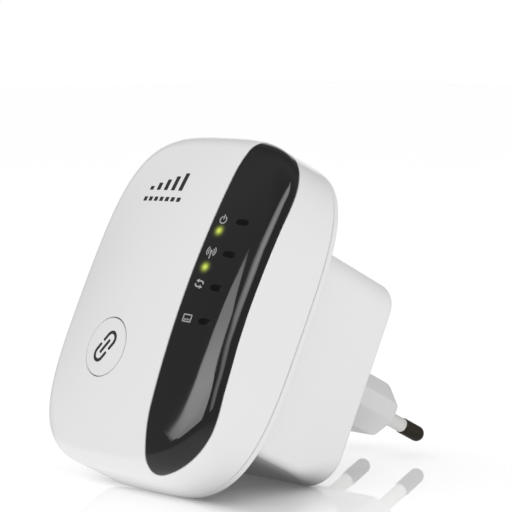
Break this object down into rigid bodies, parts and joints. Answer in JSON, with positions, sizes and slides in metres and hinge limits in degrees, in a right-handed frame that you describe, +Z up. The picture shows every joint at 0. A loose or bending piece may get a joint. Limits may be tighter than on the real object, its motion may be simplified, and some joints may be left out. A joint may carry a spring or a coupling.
{
  "type": "wifi range extender",
  "caption": "Plug-in wifi range extender: pillow-shaped shell with a dark display window, round pair button, rear power block and a fixed two-pin mains plug.",
  "frame": {"origin": "midway between the two plug pins, on the end face of the plug base", "axes": "+Z up as plugged into a wall socket, +Y towards the wall along the pins, front face towards -Y, display window on the +X side"},
  "size_m": [0.063, 0.0936, 0.085],
  "materials": {
    "shell": "gloss white moulded plastic",
    "rear": "satin white moulded plastic",
    "window": "high gloss smoked black",
    "button": "gloss white",
    "guide": "clear moulded",
    "base": "light grey satin",
    "sleeve": "light grey",
    "pin_metal": "dark plated brass",
    "screw_metal": "zinc plated",
    "label": "blank foil label",
    "board_green": "solder mask",
    "board_tan": "bare laminate",
    "chip": "moulded epoxy",
    "can_metal": "tinned steel",
    "gold_metal": "gold plated",
    "lead_black": "insulated lead",
    "lead_red": "insulated lead",
    "led": "lit lamp",
    "plunger": "moulded",
    "ferrite": "sintered ferrite",
    "copper": "enamelled winding with tape",
    "can_blue": "capacitor sleeve",
    "ceramic_blue": "dipped ceramic disc",
    "resistor": "coated resistor"
  },
  "bodies": {
    "body": {"front_cover": "shell", "display_window": "window", "light_guide": "guide", "rear_cover": "rear", "plug_base": "base", "plug_pin_left": "pin_metal", "plug_pin_right": "pin_metal", "pin_sleeve_left": "sleeve", "pin_sleeve_right": "sleeve", "case_screws": "screw_metal", "rating_label": "label", "main_board": "board_green", "board_screws": "screw_metal", "wifi_chip": "chip", "memory_chip": "chip", "flash_chip": "chip", "crystal": "can_metal", "rf_shield": "can_metal", "antenna_left": "gold_metal", "antenna_right": "gold_metal", "antenna_leads": "lead_black", "status_leds": "led", "pair_switch_body": "chip", "reset_switch_body": "chip", "network_socket": "chip", "socket_contacts": "gold_metal", "lan_transformer": "chip", "buck_inductor": "ferrite", "board_capacitors": "can_metal", "chip_parts": "board_tan", "mains_board": "board_tan", "transformer_core": "ferrite", "transformer_winding": "copper", "transformer_bobbin": "chip", "bulk_capacitors": "can_blue", "output_capacitor": "can_blue", "bridge_rectifier": "chip", "fusible_resistor": "resistor", "mains_choke": "ferrite", "safety_capacitor": "ceramic_blue", "optocoupler": "chip", "mains_controller": "chip", "power_leads": "lead_red"},
    "pair_button": {"pair_button": "button"},
    "pair_plunger": {"pair_switch_plunger": "plunger"},
    "reset_plunger": {"reset_switch_plunger": "plunger"}
  },
  "joints": [
    {"name": "pair_button_press", "type": "slide", "parent": "body", "child": "pair_button", "axis": [0, 1, 0], "range_m": [0, 0.0003], "stiffness_N_per_m": 20},
    {"name": "pair_plunger_press", "type": "slide", "parent": "body", "child": "pair_plunger", "axis": [0, 1, 0], "range_m": [0, 0.0003]},
    {"name": "reset_press", "type": "slide", "parent": "body", "child": "reset_plunger", "axis": [0, 0, 1], "range_m": [0, 0.0003], "stiffness_N_per_m": 0.5}
  ],
  "couplings": [
    {"joint": "pair_plunger_press", "follows": "pair_button_press", "ratio": 1}
  ]
}
